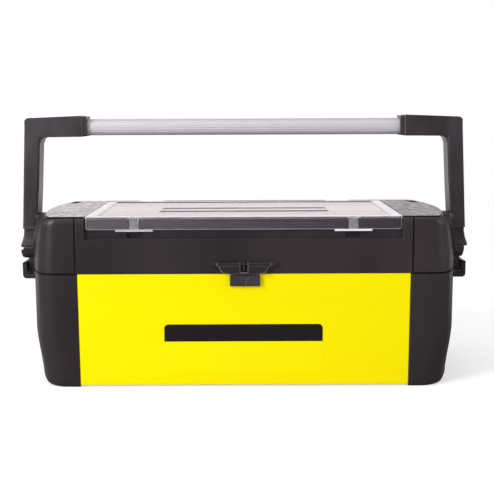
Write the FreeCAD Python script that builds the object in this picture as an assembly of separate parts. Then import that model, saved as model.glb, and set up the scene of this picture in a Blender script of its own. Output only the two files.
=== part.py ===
import FreeCAD, Part
import math
import os

from FreeCAD import Vector

# Plastic tool box in millimetres. X runs along the box, the front faces -Y, Z is up and the origin is on the
# floor under the middle of the box. Right-hand pieces are modelled and mirrored to the left.

# Tub and lid outline
box_length = 617.4          # over the bulged ends at the rim
box_depth = 247.0           # over the front and rear faces at the rim
rim_height = 161.0          # top of the tub
deck_height = 240.0         # top of the lid's deck
lid_gap = 0.6               # parting line between tub and lid
end_radius = 276.6          # plan radius of the bulged ends
corner_radius = 27.7        # plan radius of the corners at the rim
base_corner_gain = 3.3      # how much wider that radius is at the floor
taper_height = 80.0         # the tub's ends draw in below this height
end_taper = 8.6
face_taper = 3.4            # how far the front and rear faces draw in towards the floor
base_round = 8.0            # rounding under the ends
base_round_face = 2.0       # how far that rounding draws in the front and rear
lid_slope = 13.6            # how far the lid's ends lean in up to the shoulder
lid_round = 5.8             # further draw-in of the rounded shoulder at the ends
lid_round_height = 13.4
lid_slope_face = 2.2
lid_round_face = 3.4
lid_round_face_height = 8.4
lid_corner_loss = 8.0       # how much tighter the lid's corners are at the shoulder
lid_end_flattening = 90.0   # how much larger the plan radius of the ends is there
deck_step = 2.6             # thickness of the deck plate above the shoulder
deck_edge = 0.3             # bevel round its top
deck_groove = 2.0           # depth of the groove under its rim
deck_rim = 0.9              # thickness of that rim
deck_inset_end = 1.4        # shoulder left free round the deck plate, at the ends
deck_inset_face = 1.6
deck_corner = 8.0
panel_half = 229.1          # half width of the tub's coloured middle panel
lid_panel_half = 231.1      # half width of the lid's middle
panel_gap = 1.0             # between a middle panel and the end piece beside it

# Walls
wall = 2.8                  # outer shells
inner_wall = 2.5            # inner walls
floor_thickness = 3.0
fit_gap = 0.3               # between pieces that sit in each other
inner_tub_inset = 32.0      # the tub's own end wall behind the bulge of the end cap
inner_tub_draft = 2.5
inner_lid_inset = 44.5      # the same for the lid
inner_tub_corner = 30.0
inner_lid_corner = 24.0
lip_height = 4.0            # locating lip above the tub's rim
lip_inset = 0.5
lip_room = 3.0              # free height above the lip

# Organizer in the lid
cover_half = 218.2
cover_front = 120.6         # outer face of the cover's front flange
cover_rear = 110.0
cover_gap = 0.6
cover_rear_gap = 1.5        # behind the cover, for its rear edge to turn down past the deck
cover_plate = 2.2
cover_drop = 0.4            # cover's border below the deck
cover_border = 15.0
cover_panel_drop = 0.8      # sunk middle of the cover
cover_corner = 7.0
flange_bottom = 222.2
flange_thickness = 2.6
recess_bottom = 209.0       # lower edge of the recess round the flange
pan_floor = 200.5           # underside of the bins
pan_half = 213.0
pan_front = 109.0
pan_rear = 104.0
pad_half = 122.5            # ribbed frame on the cover
pad_front = 40.0
pad_rear = 3.3
pad_rib = 1.8
pad_rise = 0.8
divider = 1.8
divider_groove = 1.4
divider_fit = 0.15
front_bins = 4
rear_bins = 3

# Cover clips and finger notches
clip_x = 150.0
clip_width = 10.8
clip_lip_width = 51.4
clip_lip_height = 3.2
clip_lip_reach = 2.6        # lip in front of the flange
clip_lip_drop = 2.3         # lip's lower edge below the flange
clip_barrel = 1.6
clip_pin_radius = 0.6
clip_pin_drop = 1.4         # pin under the cover's border
clip_nose = 0.9
notch_width = 23.6
notch_bottom = 209.9
notch_top = 220.3

# Cover hinge
cover_hinge_x = 150.0
cover_hinge_width = 36.0
cover_hinge_ear = 6.0
cover_knuckle = 2.2
cover_hinge_pin_radius = 1.1
cover_hinge_reach = 2.8     # axis behind the cover's rear edge
cover_hinge_drop = 2.4      # axis below the deck

# Rear hinge of the lid
hinge_places = (-178.0, 0.0, 178.0)
hinge_offset = 4.9          # axis behind the rear face
knuckle_radius = 4.2
hinge_pin_radius = 1.6
lid_knuckle_width = 24.0
tub_knuckle_width = 14.0
knuckle_gap = 0.5
knuckle_web = 12.0

# Running fit of every pin
pin_clearance = 0.06

# Front latch
latch_height = 174.7        # axis of the flap
latch_offset = 3.8          # axis in front of the front face
latch_barrel = 3.3
latch_pin_radius = 1.5
latch_half = 37.0
latch_ear = 6.0
latch_ear_radius = 2.6
latch_ear_gap = 0.4
latch_bottom = 161.3
latch_bottom_half = 19.2
latch_corner_half = 30.0    # half width at the flap's lower corners
latch_corner_rise = 2.4
latch_plate = 2.8
latch_slot_half = 5.1
latch_slot_bottom = 164.0
staple_thickness = 2.4
staple_drop = 10.0          # staple's lower edge below the flap's axis
staple_corner = 5.5
staple_room = 0.9
staple_hole = 1.9

# Strike block under the latch
strike_half = 20.8
strike_shift = 1.4          # the block stands a little to the right
strike_top = 159.6
strike_bottom = 144.3
strike_reach = 4.2
ridge_height = 166.0
ridge_thickness = 1.8
strike_tail = 17.0
tail_bottom = 148.0
tail_top = 155.0

# Plain label on the front
label_left = -111.0
label_right = 109.0
label_top = 90.0
label_bottom = 22.0
label_thickness = 0.25
label_lift = 0.1
label_corner = 6.0

# Handle; what reaches outwards counts from the inner face of the hub
pivot_rise = 29.0           # above the lid's lower edge
bar_height = 360.0
bar_radius = 11.9
bar_wall = 2.0
bar_half = 286.0
flute_count = 20
flute_radius = 1.25
flute_depth = 0.55
collar_end = 229.0
collar_top = 377.2
collar_bottom = 346.4
collar_ring = 7.0
collar_ring_rise = 0.7
arm_width = 33.4
arm_round = 3.0
arm_top = 373.8             # top of the outer corner
arm_outer_high = 321.3      # outer face at the height of the collar's underside
arm_outer_low = 327.2       # outer face where the thick leg ends
arm_inner_high = 296.3      # inner face at the height of the collar's underside
arm_gusset = 4.5
leg_wall = 3.4
leg_gap = 0.45              # between the turned leg and the bulged end
arm_step = 40.6             # the thick leg ends this far above the pivot
foot_band = 24.2            # from here on, heights count from the pivot
foot_top = 20.7
foot_waist = 12.5           # half width of the foot under its band
lip_top = -3.2
lip_bottom = -6.7
lip_half = 18.4
lip_out = 21.1
block_top = -9.9
block_out_right = 15.4
block_out_left = 19.8
hub_radius = 25.0
tongue_half = 9.0
tongue_gap = 0.9            # between the tongue and the lip of the catch
tongue_inset = 2.0          # its inner face, outside the inner face of the hub
tongue_room = 2.0           # under the tongue

# Handle pivot on the lid's end
pad_out = 0.8               # outer face of the pivot pad at its foot, in front of the bulged end
pad_lean = 2.4              # how far that face leans back towards the top
pad_radius = 39.0
pad_bottom = 24.6           # flat lower edge, below the pivot
pad_crown = 302.5           # outer face at the very top
crown_reach = 304.5         # lower and wider disc round the pad
crown_radius = 43.4
pivot_radius = 5.0
pivot_head_radius = 9.0
pivot_head = 3.6
pivot_head_sink = 1.6
pivot_boss = 12.0
washer_radius = 11.0
washer_thickness = 0.5
washer_room = 0.4

# Catch on the tub's end
catch_out = 21.1            # in front of the bulged end
catch_bottom_drop = 24.1    # below the rim
catch_floor_drop = 18.0     # below the rim
catch_rise = 0.8            # above the rim
catch_lip = 6.2
catch_half = 19.0

# Corner pockets at the rear of the deck, along its bulged edge
pocket_front = 72.0
pocket_rear = 98.0
pocket_edge = 4.5           # deck left between the pocket and the edge
pocket_width = 12.0
pocket_depth = 1.2          # below the deck plate

# Tray
tray_half = 249.0           # clears the lid's inner walls when it is lifted
tray_depth = 208.0
tray_bottom = 107.0
tray_height = 47.0
tray_wall = 2.2
tray_rim = 1.4
tray_corner = 22.0
tray_spine = 5.0
tray_spine_drop = 8.0       # spine below the tray's rim
tray_grip_half = 62.0
tray_hole_half = 46.0
tray_hole_height = 24.0
tray_bays = 3
ledge_reach = 34.0
ledge_height = 4.0
ledge_near = 50.0
ledge_far = 92.0

# Screws
screw_radius = 1.9
screw_head = 3.8
screw_head_height = 2.2
screw_length = 14.0
boss_radius = 5.0
tub_screw_y = 72.0
tub_screw_heights = (47.0, 124.0)
lid_screw_y = 80.0
lid_screw_heights = (183.0, 221.0)
bar_screw_x = 258.0

# Shared positions
half_length = box_length / 2.0
half_depth = box_depth / 2.0
lid_bottom = rim_height + lid_gap
pivot_height = lid_bottom + pivot_rise
pad_reach = half_length + pad_out
catch_reach = half_length + catch_out
catch_bottom = rim_height - catch_bottom_drop
catch_floor = rim_height - catch_floor_drop
catch_top = rim_height + catch_rise
shoulder = deck_height - deck_step
inner_tub_end = half_length - inner_tub_inset
inner_lid_end = half_length - inner_lid_inset
tub_bottom = wall + fit_gap     # underside of the tub, inside and between the end caps
cover_top = deck_height - cover_drop
cover_seat = cover_top - cover_plate
flange_back = cover_front - flange_thickness
recess_face = flange_back - cover_gap
hinge_y = half_depth + hinge_offset
hinge_z = rim_height + lid_gap / 2.0
latch_y = -half_depth - latch_offset
cover_hinge_y = cover_rear + cover_hinge_reach
cover_hinge_z = deck_height - cover_hinge_drop
clip_pin_y = -cover_front + flange_thickness / 2.0
clip_pin_z = cover_top - clip_pin_drop
hub_inner = pad_reach + washer_thickness + washer_room
lip_reach = hub_inner + lip_out
tongue_reach = catch_reach - catch_lip - tongue_gap
tongue_end = catch_floor + tongue_room
bin_floor = pan_floor + inner_wall
beyond = 40.0               # how far cutting shapes reach past the box


def both(value):
    return (-value, value)


def box(x, y, z):
    return Part.makeBox(x[1] - x[0], y[1] - y[0], z[1] - z[0], Vector(x[0], y[0], z[0]))


def rod(radius, x, y, z):
    return Part.makeCylinder(radius, x[1] - x[0], Vector(x[0], y, z), Vector(1, 0, 0))


def shaft(radius, x, y, z):
    return Part.makeCylinder(radius, y[1] - y[0], Vector(x, y[0], z), Vector(0, 1, 0))


def ring(outer, inner, x, y, z):
    return rod(outer, x, y, z).cut(rod(inner, (x[0] - 1.0, x[1] + 1.0), y, z))


def fuse(shapes):
    whole = shapes[0]
    for shape in shapes[1:]:
        whole = whole.fuse(shape)
    return whole.removeSplitter()


def mirror_x(shape):
    return shape.mirror(Vector(0, 0, 0), Vector(1, 0, 0))


def both_sides(shape):
    return [shape, mirror_x(shape)]


def corner_wire(points, place):
    # Closed outline through (a, b, radius) corners; place(a, b) puts a point of it in space.
    edges = []
    start = None
    last = None
    for index, (a, b, radius) in enumerate(points):
        here = Vector(a, b, 0)
        after = points[(index + 1) % len(points)]
        back = Vector(points[index - 1][0], points[index - 1][1], 0) - here
        ahead = Vector(after[0], after[1], 0) - here
        turn = back.getAngle(ahead)
        reach = min(radius / math.tan(turn / 2.0), 0.45 * back.Length, 0.45 * ahead.Length)
        back.normalize()
        ahead.normalize()
        first = here + back * reach
        final = here + ahead * reach
        if last is not None:
            edges.append(Part.makeLine(place(last.x, last.y), place(first.x, first.y)))
        if reach > 0.01:
            inward = (back + ahead).normalize()
            middle = here + inward * (reach / math.cos(turn / 2.0) - reach * math.tan(turn / 2.0))
            edges.append(Part.Arc(place(first.x, first.y), place(middle.x, middle.y),
                                  place(final.x, final.y)).toShape())
        if start is None:
            start = first
        last = final
    edges.append(Part.makeLine(place(last.x, last.y), place(start.x, start.y)))
    return Part.Wire(edges)


def outline_xz(points, y):
    wire = corner_wire(points, lambda a, b: Vector(a, y[0], b))
    return Part.Face(wire).extrude(Vector(0, y[1] - y[0], 0))


def outline_yz(points, x):
    wire = corner_wire(points, lambda a, b: Vector(x[0], a, b))
    return Part.Face(wire).extrude(Vector(x[1] - x[0], 0, 0))


def outline_xy(points, z):
    wire = corner_wire(points, lambda a, b: Vector(a, b, z[0]))
    return Part.Face(wire).extrude(Vector(0, 0, z[1] - z[0]))


def round_rectangle(a, b, radius):
    return [(a[0], b[0], radius), (a[1], b[0], radius), (a[1], b[1], radius), (a[0], b[1], radius)]


def plan(z, reach, half, corner, bulge):
    # Flat front and rear, round corners and an arc at each end, all tangent.
    middle = reach - bulge
    turn_x = middle + math.sqrt((bulge - corner) ** 2 - (half - corner) ** 2)
    turn_y = half - corner
    lean = math.atan2(turn_y, turn_x - middle)
    meet_x = middle + bulge * math.cos(lean)
    meet_y = bulge * math.sin(lean)
    halfway = (math.pi / 2.0 + lean) / 2.0
    mid_x = turn_x + corner * math.cos(halfway)
    mid_y = turn_y + corner * math.sin(halfway)

    def at(x, y):
        return Vector(x, y, z)

    edges = []
    edges.append(Part.makeLine(at(-turn_x, -half), at(turn_x, -half)))
    edges.append(Part.Arc(at(turn_x, -half), at(mid_x, -mid_y), at(meet_x, -meet_y)).toShape())
    edges.append(Part.Arc(at(meet_x, -meet_y), at(reach, 0), at(meet_x, meet_y)).toShape())
    edges.append(Part.Arc(at(meet_x, meet_y), at(mid_x, mid_y), at(turn_x, half)).toShape())
    edges.append(Part.makeLine(at(turn_x, half), at(-turn_x, half)))
    edges.append(Part.Arc(at(-turn_x, half), at(-mid_x, mid_y), at(-meet_x, meet_y)).toShape())
    edges.append(Part.Arc(at(-meet_x, meet_y), at(-reach, 0), at(-meet_x, -meet_y)).toShape())
    edges.append(Part.Arc(at(-meet_x, -meet_y), at(-mid_x, -mid_y), at(-turn_x, -half)).toShape())
    return Part.Wire(edges)


def quarter(share):
    # Draw-in of a quarter round, 0 at its start and 1 at its end.
    share = min(max(share, 0.0), 1.0)
    return 1.0 - math.sqrt(1.0 - share * share)


def tub_face(z):
    # Half depth of the tub at a height.
    return half_depth - face_taper * (1.0 - z / rim_height) - base_round_face * quarter(1.0 - z / base_round)


def tub_plan(z, inset):
    drop = min(max(1.0 - z / taper_height, 0.0), 1.0)
    reach = half_length - end_taper * drop * drop * (3.0 - 2.0 * drop)
    reach -= base_round * quarter(1.0 - z / base_round)
    corner = corner_radius + base_corner_gain * (1.0 - z / rim_height)
    return plan(z, reach - inset, tub_face(z) - inset, corner - inset, end_radius - inset)


def spread(low, high, count):
    return [low + (high - low) * index / count for index in range(count + 1)]


def round_heights(start, size, share):
    # Heights at even turns round a quarter of that size, from start until it has risen by the share.
    reach = math.asin(min(share, 1.0))
    count = max(2, round(5 * reach / (math.pi / 2.0)))
    return [start + size * math.sin(reach * index / count) for index in range(count + 1)]


def loft(heights, section):
    return Part.makeLoft([section(z) for z in heights], True, False)


def tub_solid(inset, bottom):
    def section(z):
        return tub_plan(z, inset)

    upper = loft(spread(max(base_round, bottom), rim_height, 16), section)
    if bottom >= base_round:
        return upper
    lower = loft(round_heights(base_round, -base_round, 1.0 - bottom / base_round)[::-1], section)
    return upper.fuse(lower)


def lid_rise(z):
    # 0 at the lid's lower edge and below it, 1 at the shoulder.
    return max(z - lid_bottom, 0.0) / (shoulder - lid_bottom)


def lid_end_reach(z):
    lean = lid_slope * lid_rise(z) ** 1.75
    return half_length - lean - lid_round * quarter((z - shoulder) / lid_round_height + 1.0)


def lid_face(z):
    # Half depth of the lid at a height.
    crown = lid_round_face * quarter((z - shoulder) / lid_round_face_height + 1.0)
    return half_depth - lid_slope_face * lid_rise(z) - crown


def lid_bulge(z):
    return end_radius + lid_end_flattening * lid_rise(z) ** 3


def lid_plan(z, inset):
    corner = corner_radius - lid_corner_loss * lid_rise(z) ** 3
    return plan(z, lid_end_reach(z) - inset, lid_face(z) - inset, corner - inset, lid_bulge(z) - inset)


def lid_solid(inset, top):
    def section(z):
        return lid_plan(z, inset)

    start = shoulder - lid_round_height
    lower = loft(spread(lid_bottom, start, 5), section)
    return lower.fuse(loft(round_heights(start, lid_round_height, (top - start) / lid_round_height), section))


def end_sag(y, bulge):
    # How far a bulged end has drawn back at a distance from the middle.
    return bulge - math.sqrt(bulge ** 2 - y ** 2)


def inner_tub_wire(z, inset):
    share = 1.0 - z / rim_height
    reach = inner_tub_end - inner_tub_draft * share - inset
    half = half_depth - face_taper * share - base_round_face - wall - fit_gap - inset
    half += base_round_face * min(z / base_round, 1.0)
    points = round_rectangle((-reach, reach), (-half, half), inner_tub_corner)
    return corner_wire(points, lambda a, b: Vector(a, b, z))


def inner_tub(inset, z):
    # The tub's own straight body, which stands inside the end caps.
    wires = [inner_tub_wire(z[0], inset)]
    if z[0] < base_round < z[1]:
        wires.append(inner_tub_wire(base_round, inset))
    wires.append(inner_tub_wire(z[1], inset))
    return Part.makeLoft(wires, True, True)


def inner_lid(inset, z):
    # The lid's own straight body, which stands inside its end pieces.
    reach = inner_lid_end - inset
    half = lid_face(shoulder) - wall - fit_gap - inset
    return outline_xy(round_rectangle((-reach, reach), (-half, half), inner_lid_corner), z)


def middle(half, z):
    return box(both(half), both(half_depth + beyond), z)


def outer_side(near, z):
    return box((near, half_length + beyond), both(half_depth + beyond), z)


def hinge_piece(span, face, web_end, z):
    # Knuckle with a web on a rear face; the web tapers to the face at height web_end.
    inside = half_depth - wall
    points = [(inside, z, 0), (hinge_y, z, 0), (face, web_end, 0), (inside, web_end, 0)]
    return outline_yz(points, span).fuse(rod(knuckle_radius, span, hinge_y, hinge_z))


def hinge_bore(span):
    return rod(hinge_pin_radius + pin_clearance, (span[0] - 1.0, span[1] + 1.0), hinge_y, hinge_z)


def tub_hinge(x):
    # One knuckle each side of the lid's.
    pieces = []
    offset = (lid_knuckle_width + tub_knuckle_width) / 2.0 + knuckle_gap
    for side in (-1, 1):
        span = (x + side * offset - tub_knuckle_width / 2.0, x + side * offset + tub_knuckle_width / 2.0)
        low = rim_height - knuckle_web
        pieces.append(hinge_piece(span, tub_face(low), low, rim_height).cut(hinge_bore(span)))
    return pieces


def lid_hinge(x):
    span = (x - lid_knuckle_width / 2.0, x + lid_knuckle_width / 2.0)
    high = lid_bottom + knuckle_web
    return hinge_piece(span, lid_face(high), high, lid_bottom).cut(hinge_bore(span))


def hinge_pin(x):
    reach = lid_knuckle_width / 2.0 + knuckle_gap + tub_knuckle_width
    return rod(hinge_pin_radius, (x - reach, x + reach), hinge_y, hinge_z)


def tray_ledges():
    pieces = []
    top = tray_bottom - fit_gap
    for end in (-1, 1):
        x = sorted((end * (inner_tub_end - inner_wall - ledge_reach), end * (inner_tub_end - 1.5)))
        for side in (-1, 1):
            y = sorted((side * ledge_near, side * ledge_far))
            pieces.append(box(x, y, (top - ledge_height, top)))
    return pieces


def screw_places(y, heights):
    return [(side, z) for side in both(y) for z in heights]


def screw_holes(places, face):
    radius = screw_radius + pin_clearance
    return [rod(radius, (face - 8.0, face + screw_length + 0.5), y, z) for y, z in places]


def screws(places, face):
    # Pan heads against the inner face of an end wall, shanks running out into the end piece.
    pieces = []
    for y, z in places:
        head = rod(screw_head, (face - screw_head_height, face - 0.05), y, z)
        pieces.append(head.fuse(rod(screw_radius, (face - 0.1, face + screw_length), y, z)).removeSplitter())
    return pieces + [mirror_x(piece) for piece in pieces]


def screw_posts(places, start, skin):
    return [rod(boss_radius, (start, half_length), y, z).common(skin) for y, z in places]


def make_tub():
    # Middle panels full size, ends drawn in to stand inside the caps, open top with a locating lip.
    cavity_floor = tub_bottom + floor_thickness
    body = tub_solid(0.0, 0.0).common(middle(panel_half, (tub_bottom, rim_height)))
    body = body.fuse(inner_tub(0.0, (tub_bottom, rim_height)))
    body = body.fuse(inner_tub(lip_inset, (rim_height - 6.0, rim_height + lip_height)))
    body = body.cut(inner_tub(inner_wall + lip_inset, (cavity_floor, rim_height + lip_height + 1.0)))
    pocket = tub_solid(wall, cavity_floor).common(middle(panel_half - 5.0, (cavity_floor, rim_height - 8.0)))
    body = body.cut(pocket)
    half = strike_tail + fit_gap
    tail = box((strike_shift - half, strike_shift + half), (-half_depth - 5.0, -half_depth + wall + 8.0),
               (tail_bottom - fit_gap, tail_top + fit_gap))
    body = body.cut(tail)
    body = fuse([body] + tray_ledges())
    for x in hinge_places:
        body = fuse([body] + tub_hinge(x))
    for hole in screw_holes(screw_places(tub_screw_y, tub_screw_heights), inner_tub_end):
        body = body.cut(hole).cut(mirror_x(hole))
    return body


def make_catch():
    # Hook moulded on the tub's end, open upwards and to both sides for the tongue.
    lip_in = catch_reach - catch_lip
    pad = hub_inner - tongue_gap / 2.0
    root = half_length - 4.0
    outline = [(root, catch_bottom, 0), (catch_reach, catch_bottom, 5.4), (catch_reach, catch_top, 4.4),
               (lip_in, catch_top, 1.6), (lip_in, catch_floor, 2.0), (pad, catch_floor, 1.0),
               (pad, rim_height, 0.8), (root, rim_height, 0)]
    return outline_xz(outline, both(catch_half))


def make_tub_end():
    # Bulged shell round the tub's end, closed under the rim.
    skin = tub_solid(wall / 2.0, 1.0)
    shell = tub_solid(0.0, 0.0).cut(tub_solid(wall, wall))
    collar = skin.common(middle(half_length, (rim_height - wall, rim_height)))
    shell = shell.fuse(collar).common(outer_side(panel_half + panel_gap, (-1.0, rim_height + 1.0)))
    places = screw_places(tub_screw_y, tub_screw_heights)
    shell = fuse([shell] + screw_posts(places, inner_tub_end - inner_tub_draft, skin))
    shell = shell.cut(inner_tub(-fit_gap, (wall, rim_height + 1.0)))
    for hole in screw_holes(places, inner_tub_end):
        shell = shell.cut(hole)
    return fuse([shell, make_catch()])


def make_strike():
    # Block on the front with a ridge behind the flap and a tail through the tub's wall.
    back = -half_depth - 0.15
    front = back - strike_reach
    height = (strike_bottom, strike_top)
    block = box(both(strike_half), (front, back), height)
    face = outline_xz(round_rectangle(both(strike_half), height, 1.6), (front, back))
    edge = outline_yz(round_rectangle((front, back + 6.0), height, 1.2), both(strike_half))
    block = block.common(face).common(edge)
    ridge_span = (back - ridge_thickness, back - 0.1)
    ridge = box(both(strike_half - 2.0), ridge_span, (strike_top - 3.0, ridge_height))
    tail = box(both(strike_tail), (back - 0.5, -half_depth + wall + 2.0), (tail_bottom, tail_top))
    body = fuse([block, ridge, tail])
    bar = box(both(5.5), (front - 1.0, front + 1.3), (strike_top - 5.0, strike_top - 3.0))
    stem = box(both(1.3), (front - 1.0, front + 1.3), (strike_bottom + 3.0, strike_top - 4.0))
    body = body.cut(bar).cut(stem)
    body.translate(Vector(strike_shift, 0, 0))
    half = staple_thickness / 2.0 + staple_room
    low = staple_low() - staple_room
    return body.cut(box(both(half), (front - 1.0, back + 1.0), (low, ridge_height + 1.0)))


def make_label():
    # A thin plain sheet along the slope of the front face.
    low = -tub_face(label_bottom) - label_lift
    high = -tub_face(label_top) - label_lift
    points = [(low, label_bottom, 0), (low - label_thickness, label_bottom, 0),
              (high - label_thickness, label_top, 0), (high, label_top, 0)]
    sheet = outline_yz(points, (label_left, label_right))
    field = round_rectangle((label_left, label_right), (label_bottom, label_top), label_corner)
    return sheet.common(outline_xz(field, (-half_depth - 10.0, -half_depth + 20.0)))


def latch_ears():
    pieces = []
    for side in (-1, 1):
        near = latch_half + latch_ear_gap
        x = sorted((side * near, side * (near + latch_ear)))
        z = (latch_height - latch_ear_radius, latch_height + latch_ear_radius)
        web = box(x, (latch_y, -half_depth + wall), z)
        pieces.append(web.fuse(rod(latch_ear_radius, x, latch_y, latch_height)))
    return pieces


def staple_low():
    return latch_height - staple_drop


def staple():
    # Eye for a padlock, standing through the window of the flap.
    half = staple_thickness / 2.0
    tip = hinge_y + knuckle_radius
    top = latch_height + latch_barrel - 0.6
    low = staple_low()
    disc = outline_yz([(-tip, low, staple_corner), (-half_depth + wall, low, 0), (-half_depth + wall, top, 0),
                       (-tip, top, 3.0)], both(half))
    hole = rod(staple_hole, both(half + 1.0), -tip + staple_hole + 1.6, (low + top) / 2.0)
    return disc.cut(hole)


def divider_places(count, half):
    step = 2.0 * half / count
    return [-half + step * index for index in range(1, count)]


def bin_grooves():
    cuts = []
    thick = divider / 2.0 + divider_fit
    spine = inner_wall / 2.0
    height = (bin_floor, deck_height)
    for x in divider_places(front_bins, pan_half):
        cuts.append(box((x - thick, x + thick), (-pan_front - divider_groove, -spine), height))
    for x in divider_places(rear_bins, pan_half):
        cuts.append(box((x - thick, x + thick), (spine, pan_rear + divider_groove), height))
    return cuts


def bin_hollow():
    # Inside of the bins, with a spine between the front and rear rows.
    hollow = box(both(pan_half), (-pan_front, pan_rear), (bin_floor, deck_height + 10.0))
    spine = box(both(pan_half + 1.0), both(inner_wall / 2.0 + divider_groove), (pan_floor, shoulder - 5.0))
    return hollow.cut(spine)


def finger_notch(x):
    # Window in the recess under the clip, and the groove that the clip's nose runs in.
    half = notch_width / 2.0
    outline = [(x - half + 2.4, notch_bottom, 1.5), (x + half - 2.4, notch_bottom, 1.5),
               (x + half, notch_top, 1.5), (x - half, notch_top, 1.5)]
    window = outline_xz(outline, (-recess_face - 1.0, -pan_front - divider_groove - inner_wall))
    half = clip_width / 2.0 + cover_gap
    groove = box((x - half, x + half), (-recess_face - 1.0, -recess_face + clip_nose + 0.3),
                 (notch_top - 2.0, deck_height))
    return window.fuse(groove)


def cover_hinge_room(x):
    # Open pocket at the rear of the deck that the cover's knuckle turns in.
    half = cover_hinge_width / 2.0 + 0.4
    return box((x - half, x + half), (cover_rear - 1.0, half_depth),
               (cover_hinge_z - cover_knuckle - fit_gap, deck_height + 8.0))


def cover_hinge_ears(x):
    pieces = []
    half = cover_hinge_width / 2.0 + 0.4
    for side in (-1, 1):
        span = sorted((x + side * half, x + side * (half + cover_hinge_ear)))
        pieces.append(rod(cover_knuckle, span, cover_hinge_y, cover_hinge_z))
        pieces.append(box(span, (cover_hinge_y - cover_knuckle, cover_hinge_y + cover_knuckle),
                          (shoulder - wall, cover_hinge_z)))
    return pieces


def deck_plate():
    reach = lid_end_reach(shoulder) - deck_inset_end
    half = lid_face(shoulder) - deck_inset_face
    bulge = lid_bulge(shoulder)

    def level(z, inset):
        return plan(z, reach - inset, half - inset, deck_corner - inset, bulge)

    foot = Part.Face(level(shoulder, deck_groove)).extrude(Vector(0, 0, deck_step - deck_edge))
    rim = Part.Face(level(deck_height - deck_rim, 0.0)).extrude(Vector(0, 0, deck_rim - deck_edge))
    top = Part.makeLoft([level(deck_height - deck_edge, 0.0), level(deck_height, deck_edge)], True, True)
    return fuse([foot, rim, top])


def deck_pockets():
    edge = lid_end_reach(shoulder) - deck_inset_end - pocket_edge
    front = edge - end_sag(pocket_front, lid_bulge(shoulder))
    rear = edge - end_sag(pocket_rear, lid_bulge(shoulder))
    points = [(front - pocket_width, pocket_front, 2.0), (front, pocket_front, 2.0), (rear, pocket_rear, 2.0),
              (rear - pocket_width, pocket_rear, 2.0)]
    return both_sides(outline_xy(points, (shoulder - pocket_depth, deck_height + 1.0)))


def lid_casing():
    # Middle panels, inner end walls and deck plate, hollow from below.
    body = lid_solid(0.0, shoulder).common(middle(lid_panel_half, (lid_bottom, shoulder)))
    sleeve = inner_lid(0.0, (lid_bottom + lip_height + lip_room, shoulder))
    body = fuse([body, sleeve, deck_plate()])
    body = body.cut(inner_lid(inner_wall, (lid_bottom - 1.0, shoulder - wall)))
    pocket = middle(lid_panel_half - 4.0, (lid_bottom - 1.0, shoulder))
    body = body.cut(lid_solid(wall, shoulder - wall).common(pocket))
    room = round_rectangle(both(inner_tub_end + 1.0), both(half_depth - wall), inner_tub_corner)
    return body.cut(outline_xy(room, (lid_bottom - 1.0, lid_bottom + lip_height + lip_room)))


def organizer_block():
    # Walls and floor of the bins and the seat of the cover's flange, before they are hollowed.
    skirt = inner_wall + divider_groove
    bins = box(both(pan_half + skirt), (-recess_face, pan_rear + skirt), (pan_floor, shoulder - 0.5))
    seat = box(both(cover_half + 4.0), (-half_depth, -recess_face + inner_wall),
               (recess_bottom - wall, shoulder))
    return bins.fuse(seat.common(lid_solid(0.0, shoulder)))


def hollow_organizer(body):
    body = body.cut(bin_hollow())
    for groove in bin_grooves():
        body = body.cut(groove)
    slit = box(both(pan_half), (-recess_face + inner_wall, -pan_front - divider_groove - inner_wall),
               (pan_floor - 1.0, shoulder - 5.0))
    side = cover_half + cover_gap
    opening = box(both(side), (-half_depth - 1.0, cover_rear + cover_rear_gap),
                  (cover_seat - fit_gap, deck_height + 5.0))
    flange_room = box(both(side), (-half_depth - 1.0, -recess_face), (recess_bottom, deck_height + 5.0))
    body = body.cut(slit).cut(opening).cut(flange_room)
    for x in both(clip_x):
        body = body.cut(finger_notch(x))
    return body


def add_cover_hinges(body):
    for x in both(cover_hinge_x):
        body = body.cut(cover_hinge_room(x))
    for x in both(cover_hinge_x):
        body = fuse([body] + cover_hinge_ears(x))
        reach = cover_hinge_width / 2.0 + cover_hinge_ear + 1.0
        body = body.cut(rod(cover_hinge_pin_radius + pin_clearance, (x - reach, x + reach),
                            cover_hinge_y, cover_hinge_z))
    return body


def make_lid():
    body = hollow_organizer(lid_casing().fuse(organizer_block()))
    body = add_cover_hinges(body)
    body = fuse([body] + latch_ears() + [staple()] + [lid_hinge(x) for x in hinge_places])
    reach = latch_half + latch_ear_gap + latch_ear + 1.0
    body = body.cut(rod(latch_pin_radius + pin_clearance, both(reach), latch_y, latch_height))
    for hole in screw_holes(screw_places(lid_screw_y, lid_screw_heights), inner_lid_end):
        body = body.cut(hole).cut(mirror_x(hole))
    for pocket in deck_pockets():
        body = body.cut(pocket)
    return body.removeSplitter()


def pivot_pad():
    # Raised pad that carries the arm's pivot, its face rounding back towards the top.
    root = lid_end_reach(pivot_height + pad_radius) - wall
    low = pivot_height - pad_bottom
    high = pivot_height + pad_radius
    outline = [(root, low, 0), (pad_reach, low, 1.5),
               (pad_reach - pad_lean, pivot_height + 0.6 * pad_radius, 16.0), (pad_crown, high, 0),
               (root, high, 0)]
    block = outline_xz(outline, both(pad_radius))
    block = block.common(rod(pad_radius, (root - 1.0, pad_reach + 1.0), 0.0, pivot_height))
    top = pivot_height + crown_radius
    outline = [(root, low, 0), (crown_reach, low, 0), (crown_reach, top, 2.0), (root, top, 0)]
    crown = outline_xz(outline, both(crown_radius))
    return block.fuse(crown.common(rod(crown_radius, (root - 1.0, crown_reach + 1.0), 0.0, pivot_height)))


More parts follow.
